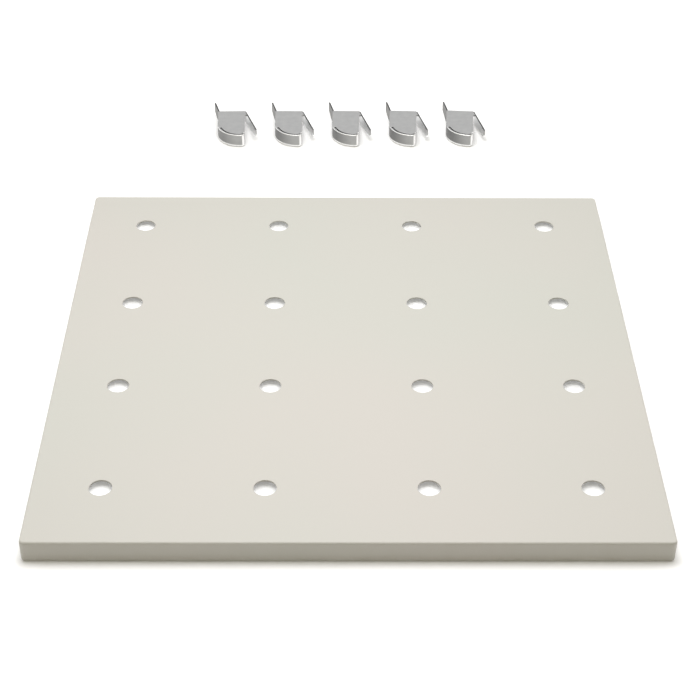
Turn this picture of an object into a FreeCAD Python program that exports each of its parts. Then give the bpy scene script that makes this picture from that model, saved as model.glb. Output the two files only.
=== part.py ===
"""Perforated sheet-steel peg panel with five loose spring clips.

The panel is one flat sheet, folded down on its four sides and turned inward again at the foot,
with a four by four grid of round peg holes.  Each clip is one strip of spring steel: a flat
saddle, a side wall that runs from a rear tongue round a quarter circle to the front, and a wing
that stands away from the other side.

Frame: the origin is the centre of the panel's top face, +Z is up out of that face, +Y points to
the row of clips and the surface that everything stands on is panel_height below the origin.
Lengths are millimetres and angles are degrees.
"""

import FreeCAD, Part
import os
import re

import Sketcher

Vector = FreeCAD.Vector

DIMENSIONS = {
    # Panel: outer size, sheet and folds.
    "panel_width": 333,
    "panel_depth": 333,
    "panel_height": 13,
    "sheet_thickness": 1,
    "corner_radius": 2.6,
    "bend_radius": 1.2,
    "foot_bend_radius": 1.2,
    "return_width": 12,
    # Panel: peg holes, in columns of one pitch and rows mirrored about the grid's middle.
    "hole_diameter": 12.3,
    "column_pitch": 86.15,
    "row_span": 255.2,
    "inner_row_gap": 81.5,
    "grid_shift_x": -0.55,
    "grid_shift_y": 2.9,
    # Clip: the origin of its own frame is the centre of the quarter circle, on the ground.
    # First its strip, then the saddle and the gap round it, the tongue, the wing and its ear.
    "clip_height": 9.9,
    "strip_thickness": 1,
    "round_radius": 16,
    "return_radius": 2.6,
    "return_right": 3.4,
    "return_length": 0.6,
    "lip_width": 1.9,
    "foot_radius": 2.3,
    "rim_radius": 0.45,
    "saddle_right": 3.4,
    "saddle_back": 19.9,
    "saddle_round_radius": 14.3,
    "saddle_corner_width": 2.7,
    "saddle_corner_depth": 3.4,
    "gap_start_turn": 18,
    "side_gap": 1.3,
    "front_gap": 0.6,
    "edge_trim": 0.15,
    "tongue_length": 13.2,
    "tongue_tip_height": 6.7,
    "tongue_flare": 13.5,
    "wing_inset": 0.25,
    "wing_set_back": 0.6,
    "wing_length": 28.5,
    "wing_root_height": 8.2,
    "wing_tip_height": 6.2,
    "wing_tip_radius": 2.6,
    "wing_flare": 16.4,
    "ear_length": 4.8,
    "ear_reach": 1.4,
    "ear_slope": 0.8,
    # Row of clips: place of the first one, and the step to the next.
    "clip_first_x": -75.6,
    "clip_first_y": 270.75,
    "clip_step_x": 41.1,
    "clip_step_y": 0.22,
    "clip_first_turn": 1.8,
    "clip_step_turn": -1.48,
}

CLIP_COUNT = 5
GRID_SIDE = 4
TOLERANCE = 1e-6

document = FreeCAD.newDocument("peg_panel_set")
sheet = document.addObject("Spreadsheet::Sheet", "dimensions")
for row, (alias, number) in enumerate(DIMENSIONS.items(), start=1):
    sheet.set(f"A{row}", alias)
    sheet.set(f"B{row}", str(number))
    sheet.setAlias(f"B{row}", alias)
document.recompute()


def size(alias):
    """The value that the sheet holds under one alias."""
    return float(getattr(sheet, alias))


def bound(expression):
    """An expression over aliases, rewritten so that each alias points at the sheet."""
    return re.sub(
        r"[a-z_]+",
        lambda word: f"dimensions.{word[0]}" if word[0] in DIMENSIONS else word[0],
        expression,
    )


def value(expression):
    """The number that an expression over aliases comes to now."""
    result = sheet.evalExpression(bound(expression))
    return float(getattr(result, "Value", result))


def origin_plane(body, role):
    """One of a body's own three base planes, found by its role."""
    return [item for item in body.Origin.OriginFeatures if item.Role == role][0]


def add_sketch(body, name, role, offset=None):
    """An empty sketch on one of the body's base planes, moved in the plane's own frame."""
    sketch = body.newObject("Sketcher::SketchObject", name)
    sketch.AttachmentSupport = [(origin_plane(body, role), "")]
    sketch.MapMode = "FlatFace"
    if offset is not None:
        sketch.AttachmentOffset = offset
    return sketch


def add_level_sketch(body, name, rise):
    """An empty level sketch, lifted straight up by an expression over aliases."""
    lift = FreeCAD.Placement(Vector(0, 0, value(rise)), FreeCAD.Rotation())
    sketch = add_sketch(body, name, "XY_Plane", lift)
    sketch.setExpression("AttachmentOffset.Base.z", bound(rise))
    return sketch


def fix_point(sketch, geometry, end, corner):
    """Ties one point of a sketch to the two expressions of a corner."""
    for kind, expression in zip(("DistanceX", "DistanceY"), corner):
        if abs(value(expression)) < TOLERANCE:
            on_axis = -2 if kind == "DistanceX" else -1
            sketch.addConstraint(Sketcher.Constraint("PointOnObject", geometry, end, on_axis))
            continue
        number = sketch.addConstraint(
            Sketcher.Constraint(kind, -1, 1, geometry, end, value(expression))
        )
        sketch.setExpression(f"Constraints[{number}]", bound(expression))


def arc_between(start, finish, radius, clockwise):
    """A short arc of the given radius from start to finish."""
    chord = finish - start
    middle = (start + finish) * 0.5
    rise = max(radius**2 - (chord.Length / 2) ** 2, 0.0) ** 0.5
    side = Vector(-chord.y, chord.x, 0).normalize()
    sense = -1 if clockwise else 1
    centre = middle + side * rise * sense
    outward = (middle - centre).normalize() if rise > TOLERANCE else side * -sense
    return Part.Arc(start, centre + outward * radius, finish)


def draw_outline(sketch, corners):
    """A closed outline.  A corner is (x, y) or (x, y, radius, clockwise): an arc leads on from it."""
    points = [Vector(value(corner[0]), value(corner[1]), 0) for corner in corners]
    count = len(corners)
    start_ends = []
    for index, corner in enumerate(corners):
        start = points[index]
        finish = points[(index + 1) % count]
        if len(corner) == 2:
            sketch.addGeometry(Part.LineSegment(start, finish), False)
            start_ends.append((1, 2))
        else:
            sketch.addGeometry(arc_between(start, finish, value(corner[2]), corner[3]), False)
            start_ends.append((2, 1) if corner[3] else (1, 2))
    for index in range(count):
        following = (index + 1) % count
        sketch.addConstraint(
            Sketcher.Constraint(
                "Coincident", index, start_ends[index][1], following, start_ends[following][0]
            )
        )
    for index, corner in enumerate(corners):
        fix_point(sketch, index, start_ends[index][0], corner[:2])
        if len(corner) > 2:
            number = sketch.addConstraint(
                Sketcher.Constraint("Radius", index, value(corner[2]))
            )
            sketch.setExpression(f"Constraints[{number}]", bound(corner[2]))


def rectangle(half_width, half_depth):
    """The four corners of a rectangle centred on the sketch's origin."""
    return [
        (f"-1 * {half_width}", f"-1 * {half_depth}"),
        (half_width, f"-1 * {half_depth}"),
        (half_width, half_depth),
        (f"-1 * {half_width}", half_depth),
    ]


def add_pad(body, name, sketch, length, downward=False):
    """A pad of the sketch whose length is an expression over aliases."""
    pad = body.newObject("PartDesign::Pad", name)
    pad.Profile = sketch
    pad.setExpression("Length", bound(length))
    pad.Reversed = downward
    document.recompute()
    return pad


def add_pocket(body, name, sketch, length, upward=False):
    """A pocket of the sketch, down from it unless upward; it must take something away."""
    before = body.Shape.Volume
    pocket = body.newObject("PartDesign::Pocket", name)
    pocket.Profile = sketch
    pocket.setExpression("Length", bound(length))
    pocket.Reversed = upward
    document.recompute()
    if not body.Shape.Volume < before:
        raise RuntimeError(f"{name} cuts nothing")
    return pocket


def add_fillet(body, name, base, radius, chosen):
    """A fillet on the base feature's edges for which chosen(edge) is true."""
    names = [f"Edge{n}" for n, edge in enumerate(base.Shape.Edges, start=1) if chosen(edge)]
    fillet = body.newObject("PartDesign::Fillet", name)
    fillet.Base = (base, names)
    fillet.setExpression("Radius", bound(radius))
    document.recompute()
    return fillet


def upright(edge):
    """Whether an edge runs straight up and down."""
    box = edge.BoundBox
    return box.XLength < TOLERANCE and box.YLength < TOLERANCE


def level(edge):
    """Whether an edge stays at one height."""
    return edge.BoundBox.ZLength < TOLERANCE


def rounded_block(name, inset):
    """A square block of the panel's outer shape, drawn in on every side by inset."""
    body = document.addObject("PartDesign::Body", name)
    sketch = add_level_sketch(body, f"{name}_outline", f"-1 * {inset}")
    half_width = f"(panel_width / 2 - {inset})"
    half_depth = f"(panel_depth / 2 - {inset})"
    draw_outline(sketch, rectangle(half_width, half_depth))
    block = add_pad(body, f"{name}_block", sketch, f"panel_height - 2 * {inset}", downward=True)
    corners = add_fillet(body, f"{name}_corners", block, f"corner_radius - {inset}", upright)
    half_height = size("panel_height") / 2
    bends = add_fillet(
        body,
        f"{name}_top_bends",
        corners,
        f"bend_radius - {inset}",
        lambda edge: level(edge) and edge.BoundBox.ZMin > -half_height,
    )
    add_fillet(
        body,
        f"{name}_foot_bends",
        bends,
        f"foot_bend_radius - {inset}",
        lambda edge: level(edge) and edge.BoundBox.ZMax < -half_height,
    )
    return body


def column_expression(column):
    """How far to the right a column of holes stands."""
    return f"grid_shift_x + column_pitch * {column - (GRID_SIDE - 1) / 2}"


def row_expression(row):
    """How far back a row of holes stands: the outer rows use the span, the inner two the gap."""
    spread = "row_span" if row in (0, GRID_SIDE - 1) else "inner_row_gap"
    side = -1 if row < GRID_SIDE / 2 else 1
    return f"grid_shift_y + {spread} * {side / 2}"


def draw_holes(sketch):
    """The grid of hole circles, all of one diameter."""
    radius = size("hole_diameter") / 2
    for index in range(GRID_SIDE**2):
        corner = (column_expression(index % GRID_SIDE), row_expression(index // GRID_SIDE))
        centre = Vector(value(corner[0]), value(corner[1]), 0)
        sketch.addGeometry(Part.Circle(centre, Vector(0, 0, 1), radius), False)
        fix_point(sketch, index, 3, corner)
        if index:
            sketch.addConstraint(Sketcher.Constraint("Equal", 0, index))
    number = sketch.addConstraint(Sketcher.Constraint("Diameter", 0, 2 * radius))
    sketch.setExpression(f"Constraints[{number}]", bound("hole_diameter"))


def make_panel():
    """The folded tray: outer block less its cavity, the opening in its foot and the holes."""
    panel = rounded_block("perforated_panel", "0")
    cavity = rounded_block("panel_cavity", "sheet_thickness")
    hollow = panel.newObject("PartDesign::Boolean", "panel_hollow")
    hollow.Type = "Cut"
    hollow.addObject(cavity)
    document.recompute()

    opening_outline = add_level_sketch(panel, "panel_opening_outline", "-1 * panel_height")
    draw_outline(
        opening_outline,
        rectangle("(panel_width / 2 - return_width)", "(panel_depth / 2 - return_width)"),
    )
    add_pocket(panel, "panel_opening", opening_outline, "panel_height / 2", upward=True)

    hole_circles = add_sketch(panel, "panel_hole_circles", "XY_Plane")
    draw_holes(hole_circles)
    add_pocket(panel, "panel_holes", hole_circles, "panel_height / 2")
    return panel


def strip_outline():
    """Plan of the strip before it is hollowed: straight side, quarter circle, front and return."""
    inner = "(round_radius - strip_thickness - lip_width)"
    return_inside = "(return_right - strip_thickness - lip_width)"
    return_turn = "(return_right - return_radius)"
    return_start = "(return_radius - round_radius)"
    return_end = f"({return_start} + return_length)"
    return [
        ("-1 * round_radius", "saddle_back"),
        ("-1 * round_radius", "0", "round_radius", False),
        ("0", "-1 * round_radius"),
        (return_turn, "-1 * round_radius", "return_radius", False),
        ("return_right", return_start),
        ("return_right", return_end),
        (return_inside, return_end),
        (return_inside, f"-1 * {inner}"),
        ("0", f"-1 * {inner}", inner, True),
        (f"-1 * {inner}", "0"),
        (f"-1 * {inner}", "saddle_back"),
    ]


def hollow_outline():
    """Plan of the space inside the strip, above the lip that its foot turns inward."""
    inner = "(round_radius - strip_thickness)"
    return_inside = "(return_right - strip_thickness)"
    inner_radius = "(return_radius - strip_thickness)"
    past_back = "(saddle_back + strip_thickness)"
    return [
        (f"-1 * {inner}", past_back),
        (f"-1 * {inner}", "0", inner, False),
        ("0", f"-1 * {inner}"),
        ("(return_right - return_radius)", f"-1 * {inner}", inner_radius, False),
        (return_inside, "(return_radius - round_radius)"),
        (return_inside, past_back),
    ]


def side_opening_outline():
    """Plan of the cut that takes the lip off the strip's straight side."""
    inner = "(round_radius - strip_thickness)"
    past_lip = f"({inner} - 2 * lip_width)"
    past_back = "(saddle_back + strip_thickness)"
    return [
        (f"-1 * {inner}", "strip_thickness"),
        (f"-1 * {past_lip}", "strip_thickness"),
        (f"-1 * {past_lip}", past_back),
        (f"-1 * {inner}", past_back),
    ]


def saddle_outline():
    """Plan of the flat saddle: joined to the strip's straight side, free of its round and front."""
    strip_middle = "(round_radius - strip_thickness / 2)"
    free_side = "(round_radius - strip_thickness - side_gap)"
    free_front = "(round_radius - strip_thickness - front_gap)"
    ear_back = "(saddle_back - wing_set_back)"
    ear_front = "(saddle_back - wing_set_back - ear_length)"
    ear_right = "(saddle_right + ear_reach)"
    return [
        (f"-1 * {strip_middle}", "saddle_back"),
        (f"-1 * {strip_middle}", "0"),
        (f"-1 * {strip_middle} * cos(gap_start_turn)", f"-1 * {strip_middle} * sin(gap_start_turn)"),
        (
            f"-1 * {free_side} * cos(gap_start_turn)",
            f"-1 * {free_side} * sin(gap_start_turn)",
            "saddle_round_radius",
            False,
        ),
        ("0", f"-1 * {free_front}"),
        ("(saddle_right - saddle_corner_width)", f"-1 * {free_front}"),
        ("saddle_right", f"(saddle_corner_depth - {free_front})"),
        ("saddle_right", f"({ear_front} - ear_slope)"),
        (ear_right, ear_front),
        (f"({ear_right} - ear_length * tan(wing_flare))", ear_back),
        ("saddle_right", "saddle_back"),
    ]


def tongue_outline():
    """Side view of the tongue, from its root at the saddle's back edge to its lower tip."""
    top = "(clip_height - edge_trim)"
    return [
        ("-1 * strip_thickness", "0"),
        ("0", "0"),
        ("tongue_length", f"({top} - tongue_tip_height)"),
        ("tongue_length", top),
        ("-1 * strip_thickness", top),
    ]


def wing_outline():
    """Side view of the wing, running forward from its root to a tip with a rounded foot."""
    top = "(clip_height - edge_trim)"
    tip_foot = f"({top} - wing_tip_height)"
    return [
        ("0", top),
        ("-1 * wing_length", top),
        ("-1 * wing_length", f"({tip_foot} + wing_tip_radius)", "wing_tip_radius", False),
        ("(wing_tip_radius - wing_length)", tip_foot),
        ("0", f"({top} - wing_root_height)"),
    ]


def side_sheet(body, name, outline, root, turn):
    """An upright sheet drawn in side view, which starts at root and is turned about the vertical."""
    stand = FreeCAD.Placement(
        Vector(root[1], 0, root[0]), FreeCAD.Rotation(Vector(0, 1, 0), turn)
    )
    sketch = add_sketch(body, f"{name}_outline", "YZ_Plane", stand)
    draw_outline(sketch, outline)
    return add_pad(body, name, sketch, "strip_thickness")


def along_round(edge, radius):
    """Whether a level edge lies along the quarter circle of the given radius."""
    middle = edge.valueAt((edge.FirstParameter + edge.LastParameter) / 2)
    on_round = abs(Vector(middle.x, middle.y, 0).Length - radius) < TOLERANCE
    return level(edge) and on_round and middle.x < 0 and middle.y < 0


def make_strip(clip, name):
    """The upright strip of a clip, with its rounded foot turned inward as a narrow lip."""
    half_height = size("clip_height") / 2
    outer_radius = size("round_radius")
    inner_radius = value("round_radius - strip_thickness")
    plan = add_sketch(clip, f"{name}_strip_plan", "XY_Plane")
    draw_outline(plan, strip_outline())
    strip = add_pad(clip, f"{name}_strip", plan, "clip_height")
    foot = add_fillet(
        clip,
        f"{name}_foot_bend",
        strip,
        "foot_radius",
        lambda edge: along_round(edge, outer_radius) and edge.BoundBox.ZMax < half_height,
    )
    add_fillet(
        clip,
        f"{name}_rim",
        foot,
        "rim_radius",
        lambda edge: along_round(edge, outer_radius) and edge.BoundBox.ZMin > half_height,
    )
    hollow_plan = add_level_sketch(clip, f"{name}_hollow_plan", "clip_height")
    draw_outline(hollow_plan, hollow_outline())
    hollow = add_pocket(clip, f"{name}_hollow", hollow_plan, "clip_height - strip_thickness")
    add_fillet(
        clip,
        f"{name}_inner_bend",
        hollow,
        "foot_radius - strip_thickness",
        lambda edge: along_round(edge, inner_radius) and edge.BoundBox.ZMax < half_height,
    )
    opening_plan = add_level_sketch(clip, f"{name}_opening_plan", "clip_height")
    draw_outline(opening_plan, side_opening_outline())
    add_pocket(clip, f"{name}_opening", opening_plan, "clip_height + strip_thickness")


def make_clip(index):
    """One spring clip, standing in its place in the row."""
    name = f"spring_clip_{index + 1}"
    clip = document.addObject("PartDesign::Body", name)
    make_strip(clip, name)

    saddle_plan = add_level_sketch(clip, f"{name}_saddle_plan", "clip_height - strip_thickness")
    draw_outline(saddle_plan, saddle_outline())
    add_pad(clip, f"{name}_saddle", saddle_plan, "strip_thickness")

    tongue_root = (-size("round_radius"), size("saddle_back"))
    side_sheet(clip, f"{name}_tongue", tongue_outline(), tongue_root, size("tongue_flare"))
    wing_root = (value("saddle_right - wing_inset"), value("saddle_back - wing_set_back"))
    side_sheet(clip, f"{name}_wing", wing_outline(), wing_root, size("wing_flare"))

    clip.Placement = FreeCAD.Placement(
        Vector(
            value(f"clip_first_x + clip_step_x * {index}"),
            value(f"clip_first_y + clip_step_y * {index}"),
            value("-1 * panel_height"),
        ),
        FreeCAD.Rotation(Vector(0, 0, 1), value(f"clip_first_turn + clip_step_turn * {index}")),
    )
    return clip


sub_parts = [make_panel()] + [make_clip(index) for index in range(CLIP_COUNT)]
document.recompute()

for item in document.Objects:
    if "Invalid" in item.State or "Error" in item.State:
        raise RuntimeError(f"{item.Name} failed: {item.State}")

os.makedirs("parts", exist_ok=True)
for sub_part in sub_parts:
    sub_part.Label = sub_part.Name
    shape = sub_part.Shape
    if shape.isNull() or not shape.isValid() or len(shape.Solids) != 1:
        raise RuntimeError(f"{sub_part.Label} is not one valid solid")
    shape.exportStep(f"parts/{sub_part.Label}.step")
    box = shape.BoundBox
    print(sub_part.Label, round(shape.Volume, 1), box)
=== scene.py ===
"""Looks for the perforated peg panel and its five spring clips: materials, studio and camera.

Metres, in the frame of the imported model: the origin is the centre of the panel's top face.
"""

import math

import bpy
from mathutils import Matrix, Vector


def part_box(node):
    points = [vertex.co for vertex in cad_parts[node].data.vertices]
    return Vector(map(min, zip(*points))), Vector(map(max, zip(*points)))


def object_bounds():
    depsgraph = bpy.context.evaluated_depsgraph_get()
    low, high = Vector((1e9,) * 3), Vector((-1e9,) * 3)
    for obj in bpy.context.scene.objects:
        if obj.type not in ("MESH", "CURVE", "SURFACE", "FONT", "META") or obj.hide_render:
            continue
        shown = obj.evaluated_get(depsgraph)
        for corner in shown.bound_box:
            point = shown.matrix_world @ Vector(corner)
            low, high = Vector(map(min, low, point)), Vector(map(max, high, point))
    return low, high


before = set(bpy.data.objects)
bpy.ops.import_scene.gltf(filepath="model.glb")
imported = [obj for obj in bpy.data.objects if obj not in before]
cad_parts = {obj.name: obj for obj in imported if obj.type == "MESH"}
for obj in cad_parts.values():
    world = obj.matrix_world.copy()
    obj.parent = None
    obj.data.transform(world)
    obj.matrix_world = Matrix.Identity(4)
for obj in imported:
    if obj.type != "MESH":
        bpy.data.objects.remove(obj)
cad_low, cad_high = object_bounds()

PANEL = "perforated_panel"
CLIPS = [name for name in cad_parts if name.startswith("spring_clip")]

panel_low, panel_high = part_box(PANEL)
panel_width = panel_high[0] - panel_low[0]
front_edge = Vector((0.0, panel_low[1], panel_high[2]))
floor_height = cad_low[2]


# ---------------------------------------------------------------- node helpers

def new_material(name):
    """A material with only a Principled shader and its output; returns it, its tree and shader."""
    material = bpy.data.materials.new(name)
    material.use_nodes = True
    tree = material.node_tree
    return material, tree, tree.nodes["Principled BSDF"]


def add_node(tree, kind, settings=None, **inputs):
    """A node with attribute settings and unlinked input values, given by socket name."""
    node = tree.nodes.new(kind)
    for key, setting in (settings or {}).items():
        setattr(node, key, setting)
    for key, number in inputs.items():
        node.inputs[key.replace("_", " ")].default_value = number
    return node


def object_position(tree, stretch=(1.0, 1.0, 1.0)):
    """The surface point in the object's own frame, stretched along each axis."""
    coordinates = tree.nodes.new("ShaderNodeTexCoord")
    mapping = tree.nodes.new("ShaderNodeMapping")
    mapping.inputs["Scale"].default_value = stretch
    tree.links.new(coordinates.outputs["Object"], mapping.inputs["Vector"])
    return mapping.outputs["Vector"]


def noise(tree, position, scale, detail=2.0, roughness=0.5):
    """A noise value over a position."""
    node = add_node(
        tree, "ShaderNodeTexNoise", Scale=scale, Detail=detail, Roughness=roughness
    )
    tree.links.new(position, node.inputs["Vector"])
    return node.outputs["Fac"]


def spread(tree, source, low, high):
    """A noise value, mostly 0.3 to 0.7, spread over low to high."""
    node = add_node(
        tree, "ShaderNodeMapRange", From_Min=0.3, From_Max=0.7, To_Min=low, To_Max=high
    )
    tree.links.new(source, node.inputs["Value"])
    return node.outputs["Result"]


def blend_colours(tree, factor, first, second):
    """A colour between first and second, each a colour or a socket."""
    node = tree.nodes.new("ShaderNodeMix")
    node.data_type = "RGBA"
    for name, colour in (("A", first), ("B", second)):
        if isinstance(colour, tuple):
            node.inputs[name].default_value = (*colour, 1.0)
        else:
            tree.links.new(colour, node.inputs[name])
    tree.links.new(factor, node.inputs["Factor"])
    return node.outputs["Result"]


def calculate(tree, operation, first, second=None):
    """A sum on one or two values, each a socket or a number."""
    node = add_node(tree, "ShaderNodeMath", {"operation": operation})
    for place, term in enumerate((first, second)):
        if isinstance(term, float):
            node.inputs[place].default_value = term
        elif term is not None:
            tree.links.new(term, node.inputs[place])
    return node.outputs["Value"]


def step_between(tree, source, low, high):
    """A soft step: 0 where the source is at low and 1 where it is at high."""
    node = add_node(
        tree,
        "ShaderNodeMapRange",
        {"interpolation_type": "SMOOTHSTEP"},
        From_Min=low,
        From_Max=high,
    )
    tree.links.new(source, node.inputs["Value"])
    return node.outputs["Result"]


def split_axes(tree, vector):
    """The X, Y and Z outputs of a vector, by name."""
    node = tree.nodes.new("ShaderNodeSeparateXYZ")
    tree.links.new(vector, node.inputs["Vector"])
    return node.outputs


def surface_normal(tree):
    """The X, Y and Z outputs of the surface's normal in the object's own frame."""
    return split_axes(tree, tree.nodes.new("ShaderNodeTexCoord").outputs["Normal"])


def add_bump(tree, shader, source, distance, strength, below=None):
    """A bump from a height value, over an earlier bump if one is given."""
    node = add_node(tree, "ShaderNodeBump", Strength=strength, Distance=distance)
    tree.links.new(source, node.inputs["Height"])
    if below is not None:
        tree.links.new(below, node.inputs["Normal"])
    tree.links.new(node.outputs["Normal"], shader.inputs["Normal"])
    return node.outputs["Normal"]


# ---------------------------------------------------------------- materials

def powder_coat():
    """Satin warm-grey powder coat: faint cloudy tone, fine orange peel and finer pigment grain."""
    material, tree, shader = new_material("powder_coat")
    position = object_position(tree)
    cloud = spread(tree, noise(tree, position, 4.0), 0.0, 1.0)
    grain = spread(tree, noise(tree, position, 2600.0), 0.0, 1.0)
    tone = blend_colours(tree, cloud, (0.498, 0.499, 0.459), (0.523, 0.497, 0.465))
    flecked = tree.nodes.new("ShaderNodeMix")
    flecked.data_type = "RGBA"
    flecked.blend_type = "MULTIPLY"
    flecked.inputs["Factor"].default_value = 0.05
    tree.links.new(tone, flecked.inputs["A"])
    tree.links.new(grain, flecked.inputs["B"])
    tree.links.new(flecked.outputs["Result"], shader.inputs["Base Color"])
    peel = noise(tree, position, 620.0, detail=3.0)
    tree.links.new(spread(tree, peel, 0.44, 0.54), shader.inputs["Roughness"])
    peel_bump = add_bump(tree, shader, peel, 0.00012, 0.25)
    add_bump(tree, shader, grain, 0.00003, 0.12, below=peel_bump)
    shader.inputs["Specular IOR Level"].default_value = 0.4
    return material


def outside(tree, mask):
    """The rest of a mask: 1 where it is 0."""
    return calculate(tree, "SUBTRACT", 1.0, mask)


def painted_bend_highlights(tree, normal):
    """Painted highlights where the strip is bent: its foot and rim on the front side, and its
    front right corner, toned bright in place of reflections.
    """
    tilt = calculate(tree, "ABSOLUTE", normal["Z"])
    leaves_upright = step_between(tree, tilt, 0.05, 0.20)
    reaches_level = step_between(tree, tilt, 0.95, 0.99)
    turned = calculate(tree, "SUBTRACT", leaves_upright, reaches_level)
    towards_front = calculate(tree, "MULTIPLY", normal["Y"], -1.0)
    bend = calculate(tree, "MULTIPLY", turned, step_between(tree, towards_front, 0.05, 0.25))
    front_and_right = calculate(tree, "MINIMUM", normal["X"], towards_front)
    corner = step_between(tree, front_and_right, 0.25, 0.50)
    return calculate(tree, "MAXIMUM", bend, corner)


def painted_wing_highlight(tree, normal, across):
    """The wing's inner face, on the right of the clip and facing left, where a painted highlight
    stands in for a reflection.
    """
    along_wing = step_between(tree, across, 0.68, 0.78)
    towards_left = calculate(tree, "MULTIPLY", normal["X"], -1.0)
    return calculate(tree, "MULTIPLY", along_wing, step_between(tree, towards_left, 0.5, 0.7))


def painted_left_shade(tree, normal, across):
    """Painted shade on the upright faces on the left of the clip, fading out towards its middle.
    """
    tilt = calculate(tree, "ABSOLUTE", normal["Z"])
    upright = outside(tree, step_between(tree, tilt, 0.05, 0.20))
    left = outside(tree, step_between(tree, across, 0.10, 0.60))
    return calculate(tree, "MULTIPLY", upright, left)


def near_black_top_edges(tree, normal, height, top_height):
    """The level top edges of tongue and wing, which end a little below the saddle's top, and which
    are toned near black.
    """
    edge_trim = 0.00015
    below_top = step_between(tree, height, top_height - edge_trim / 4, top_height - edge_trim / 2)
    return calculate(tree, "MULTIPLY", below_top, step_between(tree, normal["Z"], 0.90, 0.99))


def painted_gap_shade(tree):
    """Painted shade in the narrow gap between saddle and strip, where the clip's own faces stand
    close together; an ambient occlusion node finds it.
    """
    gap_search = {"samples": 8, "only_local": True}
    openness = add_node(tree, "ShaderNodeAmbientOcclusion", gap_search, Distance=0.0012)
    return outside(tree, step_between(tree, openness.outputs["AO"], 0.40, 0.80))


def spring_steel(top_height):
    """Rolled spring steel: grey faces, with painted highlights on bends and wing, painted shade on
    the left and in the gap, and near-black top edges.

    Bends, wing and left sides are toned by the way a face looks in the clip's own frame and by its
    place on the clip.  Those tones stand in for reflections of surroundings that aren't modelled.
    """
    material, tree, shader = new_material("spring_steel")
    position = object_position(tree)
    normal = surface_normal(tree)
    across = split_axes(tree, tree.nodes.new("ShaderNodeTexCoord").outputs["Generated"])["X"]
    height = split_axes(tree, position)["Z"]
    mottle = noise(tree, position, 260.0, detail=3.0)
    lines = noise(tree, object_position(tree, (900.0, 900.0, 9000.0)), 1.0, detail=4.0)

    face = blend_colours(
        tree, spread(tree, mottle, 0.0, 1.0), (0.350, 0.350, 0.350), (0.400, 0.400, 0.398)
    )
    # Painted highlights: the bends, the front corner and the wing's inner face, toned near white
    # below in place of reflections.
    bright = calculate(
        tree, "MAXIMUM", painted_bend_highlights(tree, normal), painted_wing_highlight(tree, normal, across)
    )
    # Painted shade: the left upright faces are toned darker in place of reflections of dark
    # surroundings.
    tone = blend_colours(tree, painted_left_shade(tree, normal, across), face, (0.20, 0.20, 0.20))
    # The painted highlights of bends and wing go in here as near white.
    tone = blend_colours(tree, bright, tone, (0.92, 0.92, 0.92))
    near_black_edges = near_black_top_edges(tree, normal, height, top_height)
    # The level top edges of tongue and wing are toned near black.
    tone = blend_colours(tree, near_black_edges, tone, (0.06, 0.06, 0.06))
    # Painted shade: the narrow gap between saddle and strip is toned near black.
    tone = blend_colours(tree, painted_gap_shade(tree), tone, (0.05, 0.05, 0.05))
    tree.links.new(tone, shader.inputs["Base Color"])

    shader.inputs["Metallic"].default_value = 1.0
    tree.links.new(spread(tree, mottle, 0.42, 0.50), shader.inputs["Roughness"])
    line_bump = add_bump(tree, shader, lines, 0.00002, 0.15)
    add_bump(tree, shader, mottle, 0.00004, 0.10, below=line_bump)
    return material


def floor_paint():
    """Plain white studio floor, with light of its own to stay white, and more of it far away."""
    material, tree, shader = new_material("studio_floor")
    shader.inputs["Base Color"].default_value = (0.90, 0.90, 0.91, 1.0)
    shader.inputs["Roughness"].default_value = 0.9
    shader.inputs["Specular IOR Level"].default_value = 0.0
    shader.inputs["Emission Color"].default_value = (1.0, 1.0, 1.0, 1.0)
    distance = tree.nodes.new("ShaderNodeVectorMath")
    distance.operation = "LENGTH"
    tree.links.new(object_position(tree), distance.inputs[0])
    near, far = 0.32, 0.55
    glow = add_node(
        tree, "ShaderNodeMapRange", From_Min=near, From_Max=far, To_Min=0.12, To_Max=0.45
    )
    tree.links.new(distance.outputs["Value"], glow.inputs["Value"])
    tree.links.new(glow.outputs["Result"], shader.inputs["Emission Strength"])
    return material


def card_paint():
    """White foam card, into which light spreads a few millimetres before it comes out again, and
    which glows faintly with light of its own.
    """
    material, tree, shader = new_material("white_card")
    shader.inputs["Base Color"].default_value = (0.88, 0.89, 0.92, 1.0)
    shader.inputs["Roughness"].default_value = 0.9
    shader.inputs["Specular IOR Level"].default_value = 0.0
    shader.inputs["Subsurface Weight"].default_value = 1.0
    shader.inputs["Subsurface Radius"].default_value = (1.0, 1.0, 1.0)
    shader.inputs["Subsurface Scale"].default_value = 0.009
    # The card glows faintly with light of its own.
    shader.inputs["Emission Color"].default_value = (1.0, 1.0, 1.0, 1.0)
    shader.inputs["Emission Strength"].default_value = 0.18
    return material


def dress(node_name, material):
    """Gives a CAD node one material."""
    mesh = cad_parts[node_name].data
    mesh.materials.clear()
    mesh.materials.append(material)


# ---------------------------------------------------------------- studio

def flat_square(name, half_side, height, material):
    """One level square under the frame's origin, part of the stage."""
    mesh = bpy.data.meshes.new(name)
    corners = [(-half_side, -half_side, height), (half_side, -half_side, height)]
    corners += [(-x, -y, height) for x, y, _ in corners]
    mesh.from_pydata(corners, [], [(0, 1, 2, 3)])
    mesh.materials.append(material)
    square = bpy.data.objects.new(name, mesh)
    bpy.context.scene.collection.objects.link(square)
    return square


def softbox(name, place, aim, side, power):
    """A square area light at place, facing aim."""
    light = bpy.data.lights.new(name, "AREA")
    light.shape = "SQUARE"
    light.size = side
    light.energy = power
    lamp = bpy.data.objects.new(name, light)
    lamp.location = place
    lamp.rotation_mode = "QUATERNION"
    lamp.rotation_quaternion = (Vector(aim) - Vector(place)).to_track_quat("-Z", "Y")
    bpy.context.scene.collection.objects.link(lamp)
    return lamp


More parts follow.
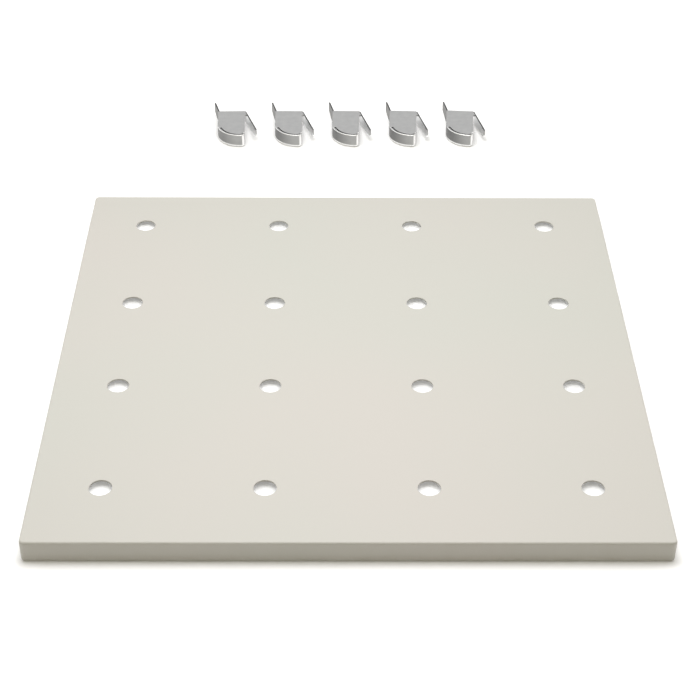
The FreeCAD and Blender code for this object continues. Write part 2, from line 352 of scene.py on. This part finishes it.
def studio_world(front_colour, back_colour):
    """A surround that is brighter behind the object, where a white sweep would stand."""
    world = bpy.data.worlds.new("studio")
    world.use_nodes = True
    tree = world.node_tree
    direction = split_axes(tree, tree.nodes.new("ShaderNodeTexCoord").outputs["Generated"])
    nearness_to_back = step_between(tree, direction["Y"], -0.6, 0.6)
    colour = blend_colours(tree, nearness_to_back, front_colour, back_colour)
    tree.links.new(colour, tree.nodes["Background"].inputs["Color"])
    bpy.context.scene.world = world


def studio_camera():
    """The camera: in front of the panel and above it, looking down across it to the clips."""
    elevation = math.radians(36.80)
    azimuth = math.radians(-0.66)
    tilt = math.radians(0.48)
    distance_left, distance_front, distance_up = 0.0213, 1.8034, 1.7144
    back = Vector((
        math.sin(azimuth) * math.cos(elevation),
        -math.cos(azimuth) * math.cos(elevation),
        math.sin(elevation),
    ))
    right = Vector((math.cos(azimuth), math.sin(azimuth), 0.0))
    up = back.cross(right)
    tilted_right = math.cos(tilt) * right + math.sin(tilt) * up
    tilted_up = math.cos(tilt) * up - math.sin(tilt) * right
    data = bpy.data.cameras.new("camera")
    data.sensor_width = 36.0
    data.lens = 84.0
    camera = bpy.data.objects.new("camera", data)
    turn = Matrix((tilted_right, tilted_up, back)).transposed()
    offset = Vector((-distance_left, -distance_front, distance_up)) * panel_width
    camera.matrix_world = Matrix.Translation(front_edge + offset) @ turn.to_4x4()
    bpy.context.scene.collection.objects.link(camera)
    bpy.context.scene.camera = camera


# ---------------------------------------------------------------- scene

def build():
    """Dresses the CAD nodes and sets up floor, lights, surround and camera."""
    dress(PANEL, powder_coat())
    clip_low, clip_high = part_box(CLIPS[0])
    steel = spring_steel(top_height=clip_high[2])
    for clip in CLIPS:
        dress(clip, steel)

    floor_half_side = 6.0
    flat_square("floor", floor_half_side, floor_height, floor_paint())
    sheet_thickness = 0.001
    card_drop = 0.0025
    card_margin = 0.014
    card_height = panel_high[2] - sheet_thickness - card_drop
    # A faintly glowing white card under the panel, seen through its holes.
    flat_square("card_under_panel", panel_width / 2 - card_margin, card_height, card_paint())

    softbox("overhead", place=(-0.03, 0.02, 0.75), aim=(0.0, 0.0, 0.0), side=0.45, power=4.75)
    studio_world(front_colour=(0.13, 0.105, 0.01), back_colour=(1.25, 1.25, 1.25))
    studio_camera()
    bpy.context.scene.view_settings.view_transform = "Standard"


build()
